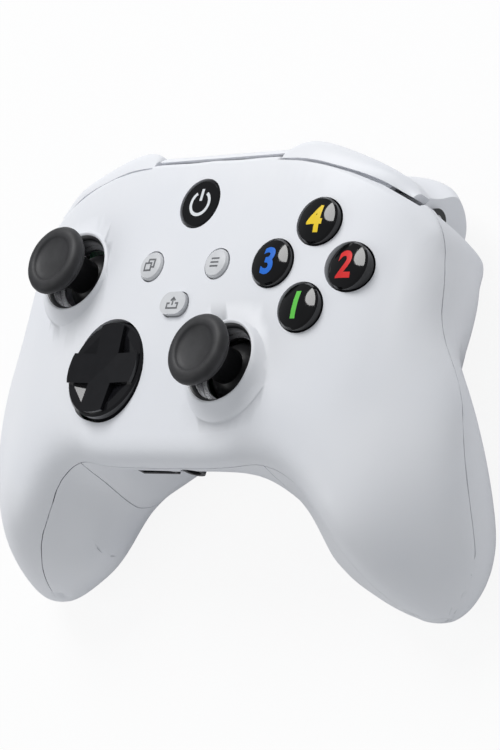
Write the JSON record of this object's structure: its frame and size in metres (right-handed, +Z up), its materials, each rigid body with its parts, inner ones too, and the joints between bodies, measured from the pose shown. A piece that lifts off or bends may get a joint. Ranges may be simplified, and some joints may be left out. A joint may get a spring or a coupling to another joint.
{
  "type": "gamepad controller",
  "caption": "Two-handed game controller with two thumb sticks, a direction pad, face buttons, bumpers, triggers and a battery door.",
  "frame": {"origin": "middle of the battery door's outer flat, on which the controller lies", "axes": "+X to the player's right, +Y towards the bumpers along the rest surface, +Z up out of the face; the face's own normal leans 10 degrees from +Z towards +Y"},
  "size_m": [0.1532, 0.1081, 0.0538],
  "materials": {
    "white_shell": "fine satin",
    "stick_rubber": "matt",
    "black_gloss": "polished",
    "grey_plastic": "satin",
    "dark_plastic": "satin",
    "silver_ring": "satin",
    "steel": "plain",
    "board_green": "lacquered",
    "silicone": "matt",
    "cell_wrap": "printed film"
  },
  "bodies": {
    "controller": {"front_shell": "white_shell", "rear_shell": "white_shell", "left_side_grip": "white_shell", "right_side_grip": "white_shell", "bumper_bridge": "white_shell", "well_liners": "dark_plastic", "stick_rings": "silver_ring", "main_board": "board_green", "mid_frame": "dark_plastic", "button_membrane": "silicone", "dpad_pivot": "dark_plastic", "dpad_dome_plate": "steel", "usb_socket": "steel", "headset_jack": "dark_plastic", "expansion_port": "dark_plastic", "bumper_switches": "dark_plastic", "battery_cells": "cell_wrap", "battery_contacts": "steel", "housing_screws": "steel", "board_screws": "steel", "left_stick_housing": "steel", "right_stick_housing": "steel", "left_trigger_bracket": "dark_plastic", "right_trigger_bracket": "dark_plastic", "trigger_pins": "steel", "left_trigger_spring": "steel", "right_trigger_spring": "steel", "trigger_motors": "steel", "left_grip_motor": "steel", "right_grip_motor": "steel"},
    "left_rocker": {"left_lower_rocker": "dark_plastic"},
    "left_shaft": {"left_stick_shaft": "steel"},
    "left_stick": {"left_stick_cap": "stick_rubber", "left_stick_stem": "dark_plastic"},
    "left_yoke": {"left_upper_rocker": "dark_plastic"},
    "right_rocker": {"right_lower_rocker": "dark_plastic"},
    "right_shaft": {"right_stick_shaft": "steel"},
    "right_stick": {"right_stick_cap": "stick_rubber", "right_stick_stem": "dark_plastic"},
    "right_yoke": {"right_upper_rocker": "dark_plastic"},
    "top_button": {"top_button": "black_gloss"},
    "right_button": {"right_button": "black_gloss"},
    "bottom_button": {"bottom_button": "black_gloss"},
    "left_button": {"left_button": "black_gloss"},
    "home_button": {"home_button": "black_gloss"},
    "view_button": {"view_button": "grey_plastic"},
    "menu_button": {"menu_button": "grey_plastic"},
    "share_button": {"share_button": "grey_plastic"},
    "pair_button": {"pair_button": "dark_plastic"},
    "dpad": {"dpad": "black_gloss"},
    "left_bumper": {"left_bumper": "white_shell"},
    "left_trigger": {"left_trigger": "white_shell"},
    "left_rumble": {"left_grip_weight": "steel"},
    "left_trigger_rumble": {"left_trigger_weight": "steel"},
    "right_bumper": {"right_bumper": "white_shell"},
    "right_trigger": {"right_trigger": "white_shell"},
    "right_rumble": {"right_grip_weight": "steel"},
    "right_trigger_rumble": {"right_trigger_weight": "steel"},
    "battery_cover": {"battery_door": "white_shell"}
  },
  "joints": [
    {"name": "left_stick_forward", "type": "hinge", "parent": "controller", "child": "left_rocker", "pos_m": [-0.0378, 0.01385, 0.02959], "axis": [1, 0, 0], "range_deg": [-14, 14], "stiffness_Nm_per_rad": 0.03},
    {"name": "left_stick_sideways", "type": "hinge", "parent": "left_rocker", "child": "left_shaft", "pos_m": [-0.0378, 0.01385, 0.02959], "axis": [0, 0.9848, -0.1736], "range_deg": [-14, 14], "stiffness_Nm_per_rad": 0.03},
    {"name": "left_stick_press", "type": "slide", "parent": "left_shaft", "child": "left_stick", "axis": [0, -0.1736, -0.9848], "range_m": [0, 0.0004], "stiffness_N_per_m": 1500, "springref_m": -0.0004},
    {"name": "left_yoke_turn", "type": "hinge", "parent": "controller", "child": "left_yoke", "pos_m": [-0.0378, 0.01385, 0.02959], "axis": [0, 0.9848, -0.1736], "range_deg": [-14.5, 14.5]},
    {"name": "right_stick_forward", "type": "hinge", "parent": "controller", "child": "right_rocker", "pos_m": [0.0192, -0.00959, 0.03373], "axis": [1, 0, 0], "range_deg": [-14, 14], "stiffness_Nm_per_rad": 0.03},
    {"name": "right_stick_sideways", "type": "hinge", "parent": "right_rocker", "child": "right_shaft", "pos_m": [0.0192, -0.00959, 0.03373], "axis": [0, 0.9848, -0.1736], "range_deg": [-14, 14], "stiffness_Nm_per_rad": 0.03},
    {"name": "right_stick_press", "type": "slide", "parent": "right_shaft", "child": "right_stick", "axis": [0, -0.1736, -0.9848], "range_m": [0, 0.0004], "stiffness_N_per_m": 1500, "springref_m": -0.0004},
    {"name": "right_yoke_turn", "type": "hinge", "parent": "controller", "child": "right_yoke", "pos_m": [0.0192, -0.00959, 0.03373], "axis": [0, 0.9848, -0.1736], "range_deg": [-14.5, 14.5]},
    {"name": "top_button_press", "type": "slide", "parent": "controller", "child": "top_button", "axis": [0, -0.1736, -0.9848], "range_m": [0, 0.0014], "stiffness_N_per_m": 400, "springref_m": -0.0006},
    {"name": "right_button_press", "type": "slide", "parent": "controller", "child": "right_button", "axis": [0, -0.1736, -0.9848], "range_m": [0, 0.0014], "stiffness_N_per_m": 400, "springref_m": -0.0006},
    {"name": "bottom_button_press", "type": "slide", "parent": "controller", "child": "bottom_button", "axis": [0, -0.1736, -0.9848], "range_m": [0, 0.0014], "stiffness_N_per_m": 400, "springref_m": -0.0006},
    {"name": "left_button_press", "type": "slide", "parent": "controller", "child": "left_button", "axis": [0, -0.1736, -0.9848], "range_m": [0, 0.0014], "stiffness_N_per_m": 400, "springref_m": -0.0006},
    {"name": "home_button_press", "type": "slide", "parent": "controller", "child": "home_button", "axis": [0, -0.1736, -0.9848], "range_m": [0, 0.0006], "stiffness_N_per_m": 700, "springref_m": -0.0006},
    {"name": "view_button_press", "type": "slide", "parent": "controller", "child": "view_button", "axis": [0, -0.1736, -0.9848], "range_m": [0, 0.0008], "stiffness_N_per_m": 600, "springref_m": -0.0006},
    {"name": "menu_button_press", "type": "slide", "parent": "controller", "child": "menu_button", "axis": [0, -0.1736, -0.9848], "range_m": [0, 0.0008], "stiffness_N_per_m": 600, "springref_m": -0.0006},
    {"name": "share_button_press", "type": "slide", "parent": "controller", "child": "share_button", "axis": [0, -0.1736, -0.9848], "range_m": [0, 0.0008], "stiffness_N_per_m": 600, "springref_m": -0.0006},
    {"name": "pair_button_press", "type": "slide", "parent": "controller", "child": "pair_button", "axis": [0, -0.9848, 0.1736], "range_m": [0, 0.0005], "stiffness_N_per_m": 600, "springref_m": -0.0004},
    {"name": "dpad_up_down", "type": "hinge", "parent": "controller", "child": "dpad", "pos_m": [-0.0192, -0.00988, 0.03784], "axis": [1, 0, 0], "range_deg": [-2.5, 2.5], "stiffness_Nm_per_rad": 0.3},
    {"name": "left_bumper_press", "type": "hinge", "parent": "controller", "child": "left_bumper", "pos_m": [-0.0185, 0.04257, 0.02575], "axis": [0, 0.1736, 0.9848], "range_deg": [0, 0.7], "stiffness_Nm_per_rad": 3, "springref_deg": -0.57},
    {"name": "left_trigger_pull", "type": "hinge", "parent": "controller", "child": "left_trigger", "pos_m": [-0.047, 0.02899, 0.02043], "axis": [-1, 0, 0], "range_deg": [0, 17], "stiffness_Nm_per_rad": 0.02, "springref_deg": -11.46},
    {"name": "left_rumble_spin", "type": "hinge", "parent": "controller", "child": "left_rumble", "pos_m": [-0.059, -0.02548, 0.01388], "axis": [0, 0.9848, -0.1736], "continuous": true},
    {"name": "left_trigger_rumble_spin", "type": "hinge", "parent": "controller", "child": "left_trigger_rumble", "pos_m": [-0.052, 0.01624, 0.01435], "axis": [1, 0, 0], "continuous": true},
    {"name": "right_bumper_press", "type": "hinge", "parent": "controller", "child": "right_bumper", "pos_m": [0.0185, 0.04257, 0.02575], "axis": [0, -0.1736, -0.9848], "range_deg": [0, 0.7], "stiffness_Nm_per_rad": 3, "springref_deg": -0.57},
    {"name": "right_trigger_pull", "type": "hinge", "parent": "controller", "child": "right_trigger", "pos_m": [0.047, 0.02899, 0.02043], "axis": [-1, 0, 0], "range_deg": [0, 17], "stiffness_Nm_per_rad": 0.02, "springref_deg": -11.46},
    {"name": "right_rumble_spin", "type": "hinge", "parent": "controller", "child": "right_rumble", "pos_m": [0.059, -0.02548, 0.01388], "axis": [0, 0.9848, -0.1736], "continuous": true},
    {"name": "right_trigger_rumble_spin", "type": "hinge", "parent": "controller", "child": "right_trigger_rumble", "pos_m": [0.052, 0.01624, 0.01435], "axis": [1, 0, 0], "continuous": true},
    {"name": "battery_door_lift", "type": "slide", "parent": "controller", "child": "battery_cover", "axis": [0, 0, -1], "range_m": [0, 0.045]}
  ],
  "couplings": [
    {"joint": "left_yoke_turn", "follows": "left_stick_sideways", "ratio": 1},
    {"joint": "right_yoke_turn", "follows": "right_stick_sideways", "ratio": 1}
  ]
}
